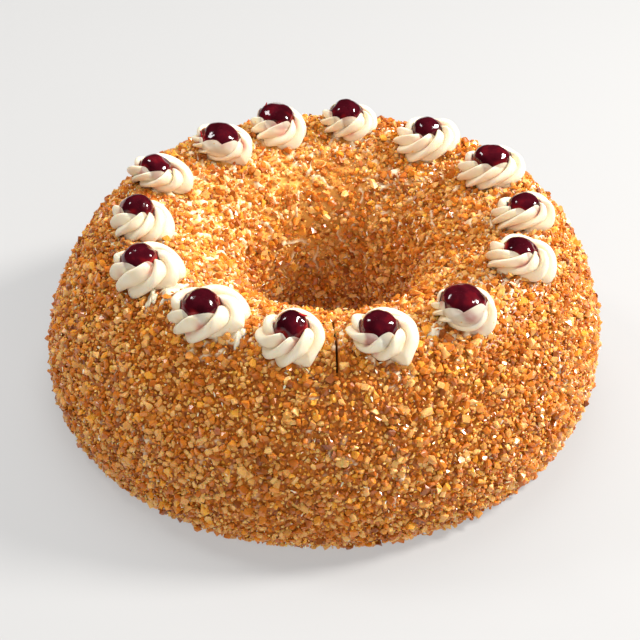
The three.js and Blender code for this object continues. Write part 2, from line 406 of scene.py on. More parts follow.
def slitAside(radius, height, angle):  # how far a point is from the knife's cut
    line = core["slitAngle"] + core["slitSlant"] * (radius - core["slitFrom"])
    aside = np.abs(np.angle(np.exp(1j * (angle - line)))) * radius
    within = (radius > core["slitFrom"]) & (radius < core["slitTo"]) & (height > core["slitAbove"])
    return np.where(within, aside, 1)


def columnAngles():  # evenly round the ring, and close together at the cut
    even = np.linspace(-math.pi, math.pi, core["around"], endpoint=False)
    spread = core["slitClose"]
    close = core["slitAngle"] + core["slitMiddle"] + np.linspace(-spread, spread, core["aroundSlit"])
    return np.unique(np.concatenate([even, close]))


def makeCore(material):
    angles = columnAngles()
    rows, columns = core["along"], len(angles)
    points, outward = coatSection(rows)
    sunk = points - outward * core["inset"]
    sunk[:, 1] = np.maximum(sunk[:, 1], core["floorGap"])
    sunk[0, 1] = sunk[-1, 1] = core["floorGap"]
    radius, angle = np.meshgrid(sunk[:, 0], angles, indexing="ij")
    height = np.meshgrid(sunk[:, 1], angles, indexing="ij")[0]
    out = np.meshgrid(outward[:, 0], angles, indexing="ij")[0]
    up = np.meshgrid(outward[:, 1], angles, indexing="ij")[0]
    flat = onRing(radius, height, angle).reshape(-1, 3)

    fine = fieldNoise(flat, core["lumpSize"], 1)
    broad = fieldNoise(flat, core["patchSize"], 2)
    slope = smooth(100 * mm, 84 * mm, radius.ravel())
    lit = -np.cos(angle.ravel())  # the side that faces the light on the inner slope
    nearest = np.full(len(flat), 1.0)
    covered = np.ones(len(flat))
    for spot in spots:
        away = np.linalg.norm(flat - np.array(spot["place"].translation), axis=1)
        covered *= smooth(0.36 * spot["width"], 0.42 * spot["width"], away)
        nearest = np.minimum(nearest, away - spot["width"] / 2)
    aside = slitAside(radius, height, angle).ravel()
    slit = smooth(core["slitHalfWidth"], 0.5 * core["slitHalfWidth"], aside)
    near = smooth(9 * mm, 1 * mm, nearest)
    cream = smooth(0.42, 0.8, fine * 0.8 + broad * 0.5 + 0.16 * slope + 0.3 * near)
    inwards = smooth(80 * mm, 62 * mm, radius.ravel()) * smooth(20 * mm, 45 * mm, height.ravel())
    # partly painted light: real cream strings, laid more thickly on the side of the inner slope that faces
    # the key light
    inwards *= 0.6 + 0.4 * smooth(-0.2, 0.6, lit)
    strings = smooth(0.10, 0.03, np.abs(fieldNoise(flat, core["stringSize"], 8))) * inwards
    strings *= smooth(-0.05, 0.2, fieldNoise(flat, core["stringBreaks"], 9))
    cream = np.maximum(cream, strings)
    lift = core["lumps"] * fine + core["creamHeight"] * cream
    lift = lift + core["strings"] * strings - core["slitDepth"] * slit
    # partly painted highlight: the cream flecks are real cream bits and also stand in for tiny glints
    fleck = 0.22 + 0.55 * smooth(0.05, 0.6, broad + 0.5 * slope) * (0.35 + slope) + 0.5 * near
    fleck = np.clip(fleck, 0, 1)
    foot = height.ravel() < core["bareFoot"]
    covered[foot] = 0
    lift[foot] = 0
    # painted light: the inner slope is coloured gold, most on the side that faces the key light
    goldenAndLit = smooth(96 * mm, 72 * mm, radius.ravel()) * smooth(15 * mm, 50 * mm, height.ravel())
    goldenAndLit *= 0.35 + 0.5 * smooth(-0.3, 0.6, lit)
    covered *= (1 - 0.9 * strings) * (1 - smearShare(flat)) * (1 - 0.25 * inwards)
    lift = lift.reshape(radius.shape)
    places = onRing(radius + out * lift, height + up * lift, angle).reshape(-1, 3)

    last = (rows - 1) * columns
    ring = np.arange(columns)
    after = (ring + 1) % columns
    under = np.stack([last + ring, last + after, after, ring], axis=1)
    mesh = bpy.data.meshes.new("ring_core")
    mesh.from_pydata(places.tolist(), [], np.concatenate([gridFaces(rows, columns), under]).tolist())
    mesh.shade_smooth()
    storeValues(mesh, "cover", covered * smooth(1.0 * mm, 1.2 * mm, aside))
    storeValues(mesh, "coverFine", covered * smooth(0.6 * mm, 0.8 * mm, aside))
    storeValues(mesh, "fleck", fleck * covered * smooth(0.8 * mm, 1.0 * mm, aside))
    storeValues(mesh, "cream", cream)
    storeValues(mesh, "goldenAndLit", goldenAndLit)
    storeValues(mesh, "slit", slit)
    mesh.update()
    return meshPiece("ring_core", mesh, material)


def coreMaterial():
    material, tree, shader = newMaterial("caramelAndCream", Roughness=0.35)
    show = addNode(tree, "ShaderNodeAttribute", -650, 300, attribute_name="cream")
    cutShade = addNode(tree, "ShaderNodeAttribute", -300, 400, attribute_name="slit")
    mottle = noiseNode(tree, -900, -100, 380, 4)
    caramel = rampNode(tree, -650, -100, [(0.35, core["caramelDeep"]), (0.6, core["caramel"])])
    tree.links.new(mottle, caramel.inputs["Fac"])
    # painted light: gold mixed in on the inner slope, most on the side facing the key light
    inside = addNode(tree, "ShaderNodeAttribute", -650, 500, attribute_name="goldenAndLit")
    warmer = mixNode(tree, -450, 0, inside.outputs["Fac"], caramel.outputs["Color"], core["goldenAndLit"])
    creamy = mixNode(tree, -300, 100, show.outputs["Fac"], warmer, core["cream"])
    # painted shade: the cut is coloured near black
    cutShaded = mixNode(tree, -100, 200, cutShade.outputs["Fac"], creamy, core["cutShade"])
    tree.links.new(cutShaded, shader.inputs["Base Color"])
    bumpNode(tree, shader, mottle, 0.6, 0.6 * mm)
    return material


ringCore = makeCore(coreMaterial())
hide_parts("cake_ring")
print("ring core:", len(ringCore.data.polygons), "faces")


# Chips of brittle: blocks with their corners broken off, few faces each
chips = {"shapes": 16, "cornersEach": 14, "crumbCorners": 8, "seed": 17}


def makeChips(name, cornerCount, draw):
    box = bpy.data.collections.new(name)
    for i in range(chips["shapes"]):
        shape = bmesh.new()
        for _ in range(cornerCount):
            way = Vector((draw.gauss(0, 1), draw.gauss(0, 1), draw.gauss(0, 1))).normalized()
            blocky = way / max(abs(c) for c in way) ** 0.6
            shape.verts.new(blocky * draw.uniform(0.85, 1.1))
        hull = bmesh.ops.convex_hull(shape, input=shape.verts)
        loose = {v for v in hull["geom_interior"] + hull["geom_unused"] if isinstance(v, bmesh.types.BMVert)}
        bmesh.ops.delete(shape, geom=list(loose), context="VERTS")
        bmesh.ops.recalc_face_normals(shape, faces=shape.faces)
        mesh = bpy.data.meshes.new(f"{name}_{i}")
        shape.to_mesh(mesh)
        shape.free()
        box.objects.link(bpy.data.objects.new(f"{name}_{i}", mesh))
    return box


# Brittle: chips scattered over the core, each with its own size, turn and tint
def makeBrittleTree():
    tree = bpy.data.node_groups.new("brittleCoat", "GeometryNodeTree")
    asked = [("Geometry", "Geometry"), ("Mask", "String"), ("Spacing", "Float"), ("Seed", "Int"),
             ("Tone From", "Float"), ("Tone To", "Float"), ("Smallest", "Float"), ("Largest", "Float"),
             ("Rarity", "Float"), ("Narrow", "Vector"), ("Wide", "Vector"), ("Sunk", "Float"),
             ("Lift", "Float"), ("Tilt", "Vector"), ("Worn Below", "Float"), ("Chips", "Collection"),
             ("Material", "Material")]
    for name, kind in asked:
        tree.interface.new_socket(name, in_out="INPUT", socket_type="NodeSocket" + kind)
    tree.interface.new_socket("Geometry", in_out="OUTPUT", socket_type="NodeSocketGeometry")
    into = addNode(tree, "NodeGroupInput", -1600, 0)
    link = tree.links.new

    squared = addNode(tree, "ShaderNodeMath", -1400, -200, operation="POWER")
    squared.inputs[1].default_value = 2
    link(into.outputs["Spacing"], squared.inputs[0])
    density = addNode(tree, "ShaderNodeMath", -1200, -200, operation="DIVIDE")
    density.inputs[0].default_value = brittle["crowding"]
    link(squared.outputs[0], density.inputs[1])
    cover = addNode(tree, "GeometryNodeInputNamedAttribute", -1200, -400, data_type="FLOAT")
    link(into.outputs["Mask"], cover.inputs["Name"])
    scatter = addNode(tree, "GeometryNodeDistributePointsOnFaces", -1000, 0, distribute_method="POISSON")
    link(into.outputs["Geometry"], scatter.inputs["Mesh"])
    link(into.outputs["Spacing"], scatter.inputs["Distance Min"])
    link(density.outputs[0], scatter.inputs["Density Max"])
    link(cover.outputs["Attribute"], scatter.inputs["Density Factor"])
    link(into.outputs["Seed"], scatter.inputs["Seed"])

    tone = addNode(tree, "FunctionNodeRandomValue", -1000, 300, data_type="FLOAT")
    link(into.outputs["Seed"], tone.inputs["Seed"])
    below = addNode(tree, "FunctionNodeCompare", -800, 400, data_type="FLOAT", operation="LESS_THAN")
    link(tone.outputs[1], below.inputs[0])
    link(into.outputs["Tone From"], below.inputs[1])
    above = addNode(tree, "FunctionNodeCompare", -800, 200, data_type="FLOAT", operation="GREATER_EQUAL")
    link(tone.outputs[1], above.inputs[0])
    link(into.outputs["Tone To"], above.inputs[1])
    outside = addNode(tree, "FunctionNodeBooleanMath", -600, 300, operation="OR")
    link(below.outputs[0], outside.inputs[0])
    link(above.outputs[0], outside.inputs[1])
    share = addNode(tree, "ShaderNodeMapRange", -800, 600)
    link(tone.outputs[1], share.inputs["Value"])
    link(into.outputs["Tone From"], share.inputs["From Min"])
    link(into.outputs["Tone To"], share.inputs["From Max"])
    tinted = addNode(tree, "GeometryNodeStoreNamedAttribute", -600, 0, data_type="FLOAT", domain="POINT")
    tinted.inputs["Name"].default_value = "tint"
    link(scatter.outputs["Points"], tinted.inputs["Geometry"])
    link(share.outputs["Result"], tinted.inputs["Value"])

    chance = addNode(tree, "FunctionNodeRandomValue", -1000, -600, data_type="FLOAT")
    chance.inputs["Seed"].default_value = 12
    rare = addNode(tree, "ShaderNodeMath", -800, -600, operation="POWER")
    link(chance.outputs[1], rare.inputs[0])
    link(into.outputs["Rarity"], rare.inputs[1])
    half = addNode(tree, "ShaderNodeMapRange", -600, -600)
    link(rare.outputs[0], half.inputs["Value"])
    link(into.outputs["Smallest"], half.inputs["To Min"])
    link(into.outputs["Largest"], half.inputs["To Max"])
    build = addNode(tree, "FunctionNodeRandomValue", -600, -900, data_type="FLOAT_VECTOR")
    build.inputs["Seed"].default_value = 13
    link(into.outputs["Narrow"], build.inputs[0])
    link(into.outputs["Wide"], build.inputs[1])
    size = addNode(tree, "ShaderNodeVectorMath", -400, -700, operation="SCALE")
    link(build.outputs[0], size.inputs[0])
    link(half.outputs["Result"], size.inputs["Scale"])

    proud = addNode(tree, "FunctionNodeRandomValue", -800, -400, data_type="FLOAT")
    proud.inputs["Seed"].default_value = 15
    link(into.outputs["Sunk"], proud.inputs[2])
    link(into.outputs["Lift"], proud.inputs[3])
    rise = addNode(tree, "ShaderNodeMath", -600, -400, operation="MULTIPLY")
    link(half.outputs["Result"], rise.inputs[0])
    link(proud.outputs[1], rise.inputs[1])
    outwards = addNode(tree, "ShaderNodeVectorMath", -400, -250, operation="SCALE")
    link(scatter.outputs["Normal"], outwards.inputs[0])
    link(rise.outputs[0], outwards.inputs["Scale"])
    lifted = addNode(tree, "GeometryNodeSetPosition", -400, 0)
    link(tinted.outputs["Geometry"], lifted.inputs["Geometry"])
    link(outwards.outputs[0], lifted.inputs["Offset"])
    kept = addNode(tree, "GeometryNodeDeleteGeometry", -200, 0, domain="POINT")
    link(lifted.outputs["Geometry"], kept.inputs["Geometry"])
    link(outside.outputs[0], kept.inputs["Selection"])

    shapes = addNode(tree, "GeometryNodeCollectionInfo", -200, -200)
    shapes.inputs["Separate Children"].default_value = True
    shapes.inputs["Reset Children"].default_value = True
    link(into.outputs["Chips"], shapes.inputs["Collection"])
    which = addNode(tree, "FunctionNodeRandomValue", -200, -350, data_type="INT")
    which.inputs["Seed"].default_value = 14
    which.inputs[4].default_value = 0
    which.inputs[5].default_value = chips["shapes"] - 1
    turn = addNode(tree, "FunctionNodeRandomValue", -600, -1200, data_type="FLOAT_VECTOR")
    turn.inputs["Seed"].default_value = 11
    other = addNode(tree, "ShaderNodeVectorMath", -800, -1200, operation="SCALE")
    other.inputs["Scale"].default_value = -1
    link(into.outputs["Tilt"], other.inputs[0])
    link(other.outputs[0], turn.inputs[0])
    link(into.outputs["Tilt"], turn.inputs[1])
    tipped = addNode(tree, "FunctionNodeEulerToRotation", -400, -1200)
    link(turn.outputs[0], tipped.inputs[0])
    laid = addNode(tree, "FunctionNodeRotateRotation", -200, -1000, rotation_space="LOCAL")
    link(scatter.outputs["Rotation"], laid.inputs["Rotation"])
    link(tipped.outputs[0], laid.inputs["Rotate By"])
    spread = addNode(tree, "GeometryNodeInstanceOnPoints", 0, 0)
    spread.inputs["Pick Instance"].default_value = True
    link(kept.outputs["Geometry"], spread.inputs["Points"])
    link(shapes.outputs["Instances"], spread.inputs["Instance"])
    link(which.outputs[2], spread.inputs["Instance Index"])
    link(laid.outputs["Rotation"], spread.inputs["Rotation"])
    link(size.outputs[0], spread.inputs["Scale"])
    real = addNode(tree, "GeometryNodeRealizeInstances", 200, 0)
    link(spread.outputs["Instances"], real.inputs["Geometry"])

    where = addNode(tree, "GeometryNodeInputPosition", 200, -400)
    apart = addNode(tree, "ShaderNodeSeparateXYZ", 400, -400)
    link(where.outputs[0], apart.inputs[0])
    standing = addNode(tree, "ShaderNodeMath", 600, -400, operation="MAXIMUM")
    standing.inputs[1].default_value = brittle["floorGap"]
    link(apart.outputs["Z"], standing.inputs[0])
    again = addNode(tree, "ShaderNodeCombineXYZ", 800, -400)
    link(apart.outputs["X"], again.inputs["X"])
    link(apart.outputs["Y"], again.inputs["Y"])
    link(standing.outputs[0], again.inputs["Z"])
    trimmed = addNode(tree, "GeometryNodeSetPosition", 1000, 0)
    link(real.outputs["Geometry"], trimmed.inputs["Geometry"])
    link(again.outputs[0], trimmed.inputs["Position"])
    edge = addNode(tree, "GeometryNodeInputMeshEdgeAngle", 1000, -300)
    worn = addNode(tree, "FunctionNodeCompare", 1200, -300, data_type="FLOAT", operation="LESS_THAN")
    link(edge.outputs["Unsigned Angle"], worn.inputs[0])
    link(into.outputs["Worn Below"], worn.inputs[1])
    rounded = addNode(tree, "GeometryNodeSetShadeSmooth", 1200, 0, domain="EDGE")
    link(trimmed.outputs["Geometry"], rounded.inputs["Geometry"])
    link(worn.outputs[0], rounded.inputs["Shade Smooth"])
    coloured = addNode(tree, "GeometryNodeSetMaterial", 1400, 0)
    link(rounded.outputs["Geometry"], coloured.inputs["Geometry"])
    link(into.outputs["Material"], coloured.inputs["Material"])
    out = addNode(tree, "NodeGroupOutput", 1600, 0)
    link(coloured.outputs["Geometry"], out.inputs["Geometry"])
    return tree


def runTree(name, tree, mesh, values):
    holder = bpy.data.objects.new(name, mesh)
    bpy.context.scene.collection.objects.link(holder)
    maker = holder.modifiers.new("maker", "NODES")
    maker.node_group = tree
    sockets = {item.name: item.identifier for item in tree.interface.items_tree if item.in_out == "INPUT"}
    for key, value in values.items():
        maker[sockets[key]] = value
    depsgraph = bpy.context.evaluated_depsgraph_get()
    made = bpy.data.meshes.new_from_object(holder.evaluated_get(depsgraph), depsgraph=depsgraph)
    holder.modifiers.clear()
    bpy.data.objects.remove(holder)
    made.name = name
    return meshPiece(name, made, values["Material"])


# Kinds of grain, in millimetres: half lengths from small to large, the large ones rarer the higher
# rarity is; sunk and lift are how far out they sit, in half lengths; narrow and wide are their builds;
# kinds with one seed and spacing share their places, each taking its stretch of tones
brittle = {
    "grains": {"mask": "cover", "spacing": 2.05, "seed": 5, "small": 1.0, "large": 2.5, "rarity": 2.0,
               "sunk": 0.0, "lift": 0.75, "narrow": (0.8, 0.65, 0.55), "wide": (1.2, 0.95, 0.85)},
    "crumbs": {"mask": "coverFine", "spacing": 1.9, "seed": 23, "small": 0.45, "large": 0.95, "rarity": 1.2,
               "sunk": 0.8, "lift": 2.2, "narrow": (0.8, 0.65, 0.55), "wide": (1.2, 0.95, 0.85)},
    # partly painted highlight: cream flecks that also stand in for tiny glints
    "flecksAndGlints": {"mask": "fleck", "spacing": 3.2, "seed": 41, "small": 0.3, "large": 0.8, "rarity": 2.0,
               "sunk": 1.8, "lift": 3.0, "narrow": (0.9, 0.45, 0.4), "wide": (2.2, 0.7, 0.6)},
    "kinds": [
        {"name": "brittle_nut", "of": "grains", "tones": (0, 0.35), "pale": (0.88, 0.51, 0.165),
         "deep": (0.66, 0.29, 0.06), "speck": (0.48, 0.16, 0.022), "coat": 0.25},
        {"name": "brittle_golden", "of": "grains", "tones": (0.35, 0.48), "pale": (0.90, 0.43, 0.055),
         "deep": (0.74, 0.26, 0.02), "speck": (0.48, 0.13, 0.01), "coat": 0.5},
        {"name": "brittle_caramel", "of": "grains", "tones": (0.48, 0.93), "pale": (0.70, 0.235, 0.022),
         "deep": (0.45, 0.115, 0.010), "speck": (0.30, 0.065, 0.006), "coat": 0.5},
        {"name": "brittle_dark", "of": "grains", "tones": (0.93, 1.01), "pale": (0.40, 0.11, 0.010),
         "deep": (0.22, 0.052, 0.006), "speck": (0.08, 0.02, 0.004), "coat": 0.5},
        {"name": "crumbs_pale", "of": "crumbs", "tones": (0, 0.5), "pale": (0.94, 0.55, 0.15),
         "deep": (0.82, 0.36, 0.05), "speck": (0.5, 0.18, 0.03), "coat": 0.3},
        {"name": "crumbs_caramel", "of": "crumbs", "tones": (0.5, 1.01), "pale": (0.76, 0.26, 0.032),
         "deep": (0.52, 0.13, 0.012), "speck": (0.25, 0.055, 0.006), "coat": 0.5},
        # partly painted highlight: real cream flecks, also standing in for tiny glints
        {"name": "cream_flecks", "of": "flecksAndGlints", "tones": (0, 1.01), "pale": (0.96, 0.86, 0.66),
         "deep": (0.93, 0.76, 0.48), "speck": (0.86, 0.62, 0.32), "coat": 0.1},
    ],
    "tilt": (0.9, 0.9, math.pi),
    "wornBelow": math.radians(48),  # edges flatter than this are shaded round
    "crowding": 5,  # points tried for each square of the spacing
    "floorGap": 0.2 * mm,
}


def makeBrittle():
    tree = makeBrittleTree()
    draw = random.Random(chips["seed"])
    blocks = makeChips("chip", chips["cornersEach"], draw)
    crumbs = makeChips("crumb", chips["crumbCorners"], draw)
    for kind in brittle["kinds"]:
        group = brittle[kind["of"]]
        piece = runTree(kind["name"], tree, ringCore.data, {
            "Mask": group["mask"],
            "Spacing": group["spacing"] * mm,
            "Seed": group["seed"],
            "Tone From": kind["tones"][0],
            "Tone To": kind["tones"][1],
            "Smallest": group["small"] * mm,
            "Largest": group["large"] * mm,
            "Rarity": group["rarity"],
            "Narrow": group["narrow"],
            "Wide": group["wide"],
            "Sunk": group["sunk"],
            "Lift": group["lift"],
            "Tilt": brittle["tilt"],
            "Worn Below": brittle["wornBelow"],
            "Chips": blocks if kind["of"] == "grains" else crumbs,
            "Material": grainMaterial(kind["name"], kind["pale"], kind["deep"], kind["speck"], kind["coat"]),
        })
        print(kind["name"], len(piece.data.polygons), "faces")
    for box in (blocks, crumbs):
        for chip in list(box.objects):
            bpy.data.meshes.remove(chip.data)
        bpy.data.collections.remove(box)


makeBrittle()


# Rosettes: a star-nozzle rope laid in a ring, its ridges sweeping from the foot to the cherry
rosette = {
    "arms": 7,
    "broadArms": {9: 6, 10: 6, 11: 6, 12: 6},  # rosettes piped with fewer, broader arms
    "from": math.radians(-70),  # the rope's section runs from under its outside to the cherry
    "to": math.radians(165),
    "sweep": math.radians(125),
    "crowd": 0.38,  # how much closer the arms lie on the side towards -X
    "ropeMiddle": 0.60,
    "ropeHalf": 0.40,
    "ropeHeight": 3.6 * mm,
    "ropeTall": 5.9 * mm,
    "skew": 0.75,  # below 1 an arm is steeper on one side
    "sharpness": 1.6,
    "crease": 3.0 * mm,
    "creaseAlong": ([0, 0.3, 0.6, 0.85, 1], [1.15, 1.1, 0.85, 0.6, 0.3]),
    # painted shade: how strongly the creases between the arms are coloured darker and warmer
    "creaseShadeAmount": 0.5,
    "lip": 2.4 * mm,  # how far the arms' ends stand up against the cherry
    "deep": 0.88,
    "deepFront": 0.8,
    "around": 256,
    "rows": 60,
    "seed": 31,
    "tails": {11: -62, 10: -40, 12: -58, 6: -48},  # rosette to the degrees where its torn end lies
    "tailLength": 1.8 * mm,
    "tailSpread": 0.36,
    "follow": 0.75,  # how far the top leans after its cherry
    "followHeight": 9 * mm,
    "cupEase": 1.02,
    "cupGap": 0.15 * mm,
    "ivoryDeep": (0.82, 0.71, 0.50),
    "ivory": (0.85, 0.77, 0.59),
    # painted shade: the darker, warmer colour painted into the creases
    "creaseShadeColour": (0.85, 0.63, 0.34),
    "vanilla": (0.86, 0.55, 0.16),
    "juice": (0.62, 0.20, 0.16),
}


def creamMaterial():
    material, tree, shader = newMaterial("buttercream", Roughness=0.42, Subsurface_Weight=0.35,
                                         Subsurface_Radius=(1.0, 0.65, 0.35), Subsurface_Scale=2 * mm)
    mottle = noiseNode(tree, -900, 0, 160, 3)
    ramp = rampNode(tree, -650, 100, [(0.3, rosette["ivoryDeep"]), (0.6, rosette["ivory"])])
    tree.links.new(mottle, ramp.inputs["Fac"])
    # painted shade: the creases between the arms are coloured darker and warmer
    crease = addNode(tree, "ShaderNodeAttribute", -650, 350, attribute_name="crease")
    creaseShaded = mixNode(tree, -400, 200, crease.outputs["Fac"], ramp.outputs["Color"], rosette["creaseShadeColour"])
    flecked = noiseNode(tree, -900, -500, 420, 1)
    fleck = addNode(tree, "ShaderNodeMapRange", -650, -500)
    fleck.inputs["From Min"].default_value = 0.74
    fleck.inputs["From Max"].default_value = 0.80
    tree.links.new(flecked, fleck.inputs["Value"])
    dotted = mixNode(tree, -250, 150, fleck.outputs["Result"], creaseShaded, rosette["vanilla"])
    stain = addNode(tree, "ShaderNodeAttribute", -400, 450, attribute_name="juice")
    stained = mixNode(tree, -100, 250, stain.outputs["Fac"], dotted, rosette["juice"])
    tree.links.new(stained, shader.inputs["Base Color"])
    bumpNode(tree, shader, noiseNode(tree, -650, -800, 900, 2), 0.12, 0.2 * mm)
    return material


def makeRosette(spot, material, draw):
    s = rosette
    arms = s["broadArms"].get(spot["number"], s["arms"])
    half = spot["width"] / 2
    section = np.linspace(s["from"], s["to"], s["rows"])
    turn, angle = np.meshgrid(section, evenTurn(s["around"]), indexing="ij")
    along = (turn - section[0]) / (section[-1] - section[0])

    wobble = 0.10 * np.sin(2 * angle + draw.uniform(0, 6.3))
    wobble = wobble + 0.07 * np.sin(3 * angle + draw.uniform(0, 6.3))
    origin = angle - s["sweep"] * along + wobble  # where the arm through a point starts at the foot
    phase = arms * (origin - s["crowd"] * np.sin(origin)) / (2 * math.pi) + draw.random()
    arm = np.floor(phase).astype(int) % arms
    across = (phase - np.floor(phase)) ** s["skew"]
    ridge = 1 - np.abs(2 * across - 1) ** s["sharpness"]
    swells = np.array([draw.uniform(0.86, 1.16) for _ in range(arms)])[arm]
    lips = np.array([draw.uniform(0.3, 1) for _ in range(arms)])[arm]
    depth = s["crease"] * np.interp(along, *s["creaseAlong"])
    streak = np.array([noise.noise(Vector((p * 5, a * 2, spot["number"] * 9.1)))
                       for p, a in zip(phase.ravel(), along.ravel())]).reshape(phase.shape)
    out = depth * (ridge * swells - 1) + 0.16 * mm * streak * ridge
    if spot["number"] in s["tails"]:
        aside = np.angle(np.exp(1j * (angle - math.radians(s["tails"][spot["number"]]))))
        point = np.clip(1 - np.abs(aside) / s["tailSpread"], 0, 1) ** 1.3
        out = out + s["tailLength"] * point * smooth(0.5, 0.2, along)

    radius = half * (s["ropeMiddle"] + s["ropeHalf"] * np.cos(turn)) + out * np.cos(turn)
    height = s["ropeHeight"] + s["ropeTall"] * np.sin(turn) + out * np.sin(turn)
    facing = np.clip(0.4 - 0.6 * np.sin(angle), 0, 1)
    height += s["lip"] * lips * ridge * facing * smooth(0.4, 0.68, along) * smooth(1.0, 0.8, along)
    deep = np.where(np.sin(angle) < 0, s["deepFront"], s["deep"])
    points = np.stack([radius * np.cos(angle), radius * np.sin(angle) * deep, height], axis=-1)
    points = points.reshape(-1, 3)
    points = np.concatenate([points, [[0, 0, height[0].mean()], [0, 0, height[-1].mean() - 0.5 * mm]]])

    cherry = np.array(spot["place"].inverted() @ spot["cherry"])
    follow = np.clip(points[:, 2] / s["followHeight"], 0, 1)
    points[:, 0] += cherry[0] * s["follow"] * follow
    points[:, 1] += cherry[1] * s["follow"] * follow
    cup = spot["cherryHalf"] * s["cupEase"] + s["cupGap"]
    reach = (points - cherry) / cup
    nearness = np.linalg.norm(reach, axis=1)
    inside = nearness < 1
    points[inside] = cherry + reach[inside] / np.maximum(nearness[inside], 0.05)[:, None] * cup

    world = np.array(spot["place"])
    plane = points * [1, 1, 0] @ world[:3, :3].T + world[:3, 3]
    sag = surfaceHeight(plane[:, 0], plane[:, 1]) - plane[:, 2]
    placed = points @ world[:3, :3].T + world[:3, 3]
    placed[:, 2] += sag * np.clip(1 - points[:, 2] / (s["ropeHeight"] + s["ropeTall"]), 0, 1)

    groove = np.append(((1 - ridge) ** 1.5).ravel(), [0, 0])
    patch = smooth(-0.1, 0.45, fieldNoise(placed, 7 * mm, 3))
    juice = patch * np.clip(0.5 * smooth(1.08, 1.0, nearness) + groove * smooth(1.7, 1.1, nearness), 0, 0.8)

    rows, columns = s["rows"], s["around"]
    ring = np.arange(columns)
    after = (ring + 1) % columns
    foot, middle = rows * columns, rows * columns + 1
    last = (rows - 1) * columns
    faces = gridFaces(rows, columns).tolist()
    faces += np.stack([after, ring, np.full(columns, foot)], axis=1).tolist()
    faces += np.stack([last + ring, last + after, np.full(columns, middle)], axis=1).tolist()
    name = f"piped_rosette_{spot['number']:02d}"
    mesh = bpy.data.meshes.new(name)
    mesh.from_pydata(placed.tolist(), [], faces)
    mesh.shade_smooth()
    storeValues(mesh, "juice", juice)
    # painted shade in the creases, stored for the cream's colour
    storeValues(mesh, "crease", groove * s["creaseShadeAmount"])
    mesh.update()
    return meshPiece(name, mesh, material)


buttercream = creamMaterial()
rosetteDraw = random.Random(rosette["seed"])
for spot in spots:
    piece = makeRosette(spot, buttercream, rosetteDraw)
    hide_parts(f"rosette_{spot['number']:02d}")
print("rosettes:", len(piece.data.polygons), "faces each")

# Cherries: stoned, dented and a little wrinkled; some keep a flap of torn skin
cherries = {
    "size": 0.98,
    "uneven": 0.07,
    "wrinkle": 0.02,
    "dents": 2,
    "dent": 0.15,
    "seed": 7,
    # cherry to its flap's bearing, rise and lie, in degrees; a lie of 0 points uphill
    "flaps": {11: (25, 42, 150), 5: (150, 45, 10), 6: (185, 20, 60)},
    "flapSize": (2.0 * mm, 0.8 * mm, 0.35 * mm),
    "flapLift": 0.35,
    "flapCurl": 0.5 * mm,
    "darkest": (0.028, 0.0018, 0.004),
    "burgundy": (0.052, 0.003, 0.007),
    "wine": (0.13, 0.005, 0.009),
    # painted light: the red of light shining through the lower flesh
    "glowRed": (0.34, 0.010, 0.011),
}


def cherryMaterial():
    material, tree, shader = newMaterial("cherryFlesh", Roughness=0.1)
    mottle = noiseNode(tree, -900, 0, 130, 3)
    ramp = rampNode(tree, -650, 100, [(0.35, cherries["darkest"]), (0.55, cherries["burgundy"]),
                                      (0.75, cherries["wine"])])
    tree.links.new(mottle, ramp.inputs["Fac"])
    # painted light: the lower side of each cherry is coloured red, as if lit through
    glowBelow = addNode(tree, "ShaderNodeAttribute", -450, 350, attribute_name="glowBelow")
    red = mixNode(tree, -150, 200, glowBelow.outputs["Fac"], ramp.outputs["Color"], cherries["glowRed"])
    tree.links.new(red, shader.inputs["Base Color"])
    bumpNode(tree, shader, mottle, 0.2, 0.4 * mm)
    return material


def addFlap(shape, bearing, rise, lie):  # a flake of skin, its frame and the way to its root
    way = wayTo(bearing, rise)
    side = way.cross(Vector((0, 0, 1))).normalized()
    along = way * cherries["flapLift"] + side.cross(way) * math.cos(lie) + side * math.sin(lie)
    along = along.normalized()
    side = way.cross(along).normalized()
    turned = Matrix((along, side, along.cross(side))).transposed()
    flake = bmesh.ops.create_icosphere(shape, subdivisions=2, radius=1)["verts"]
    return flake, turned, way


